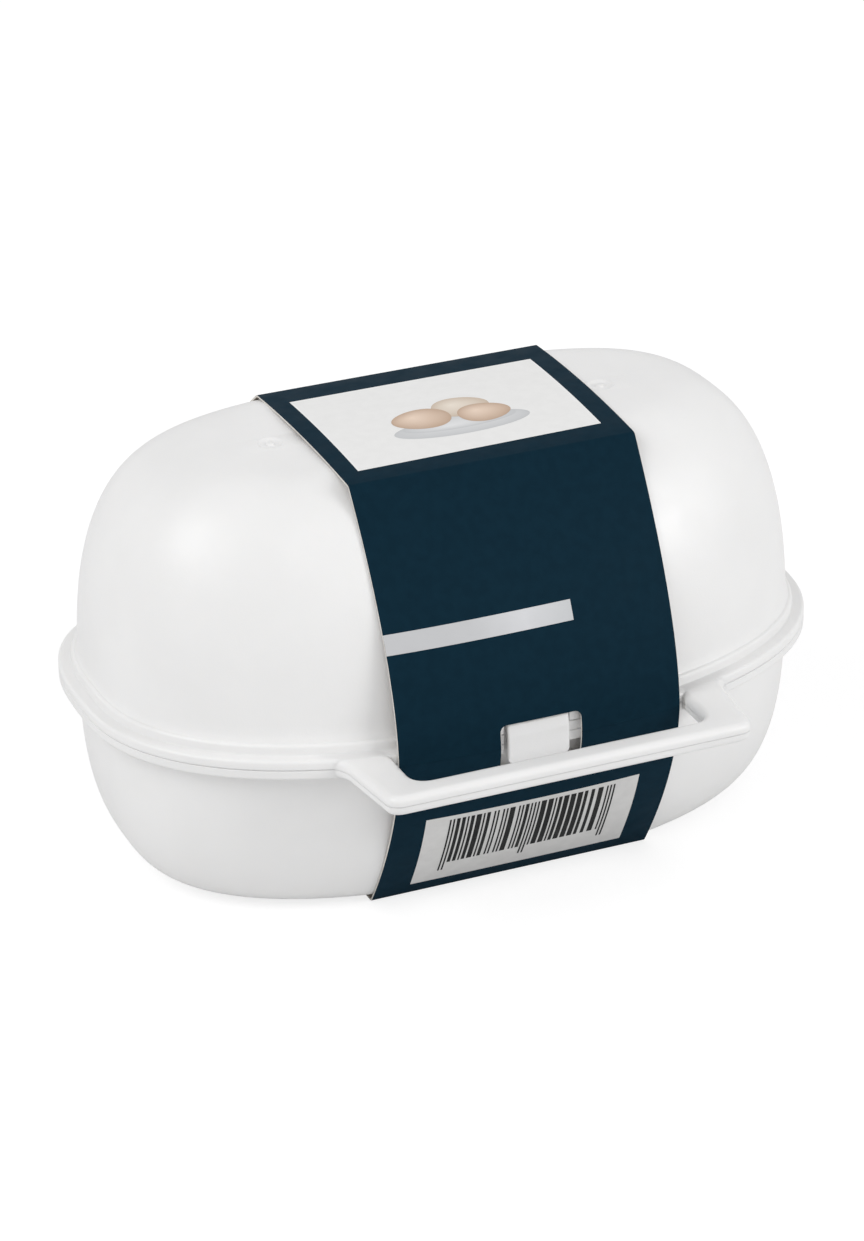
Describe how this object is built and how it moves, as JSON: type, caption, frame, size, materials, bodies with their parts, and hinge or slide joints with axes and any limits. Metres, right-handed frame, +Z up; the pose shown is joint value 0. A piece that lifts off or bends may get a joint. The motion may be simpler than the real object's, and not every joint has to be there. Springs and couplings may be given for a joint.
{
  "type": "egg storage box",
  "caption": "Rounded egg storage box with a hinged lid, a front latch, a carrying handle on the rim, an insert with egg cups and a printed cardboard sleeve.",
  "frame": {"origin": "centre of the whole closed box's footprint, handle and hinge included, on the surface it stands on", "axes": "+Z up, X along the length and the hinge line, the latch and the handle at -Y"},
  "size_m": [0.167, 0.127, 0.0962],
  "materials": {
    "white_plastic": "satin moulded polypropylene",
    "tray_plastic": "satin moulded polypropylene",
    "printed_card": "coated printed card, dark blue outside"
  },
  "bodies": {
    "base": {"base_shell": "white_plastic", "sleeve_lower": "printed_card"},
    "lid": {"lid_shell": "white_plastic", "sleeve_upper": "printed_card"},
    "latch": {"front_latch": "white_plastic"},
    "tray": {"egg_tray": "tray_plastic"}
  },
  "joints": [
    {"name": "lid_hinge", "type": "hinge", "parent": "base", "child": "lid", "pos_m": [0, 0.06017, 0.0415], "axis": [-1, 0, 0], "range_deg": [0, 110]},
    {"name": "latch_hinge", "type": "hinge", "parent": "lid", "child": "latch", "pos_m": [0, -0.04652, 0.0471], "axis": [-1, 0, 0], "range_deg": [0, 30]},
    {"name": "tray_lift", "type": "slide", "parent": "base", "child": "tray", "axis": [0, 0, 1], "range_m": [0, 0.009]}
  ]
}
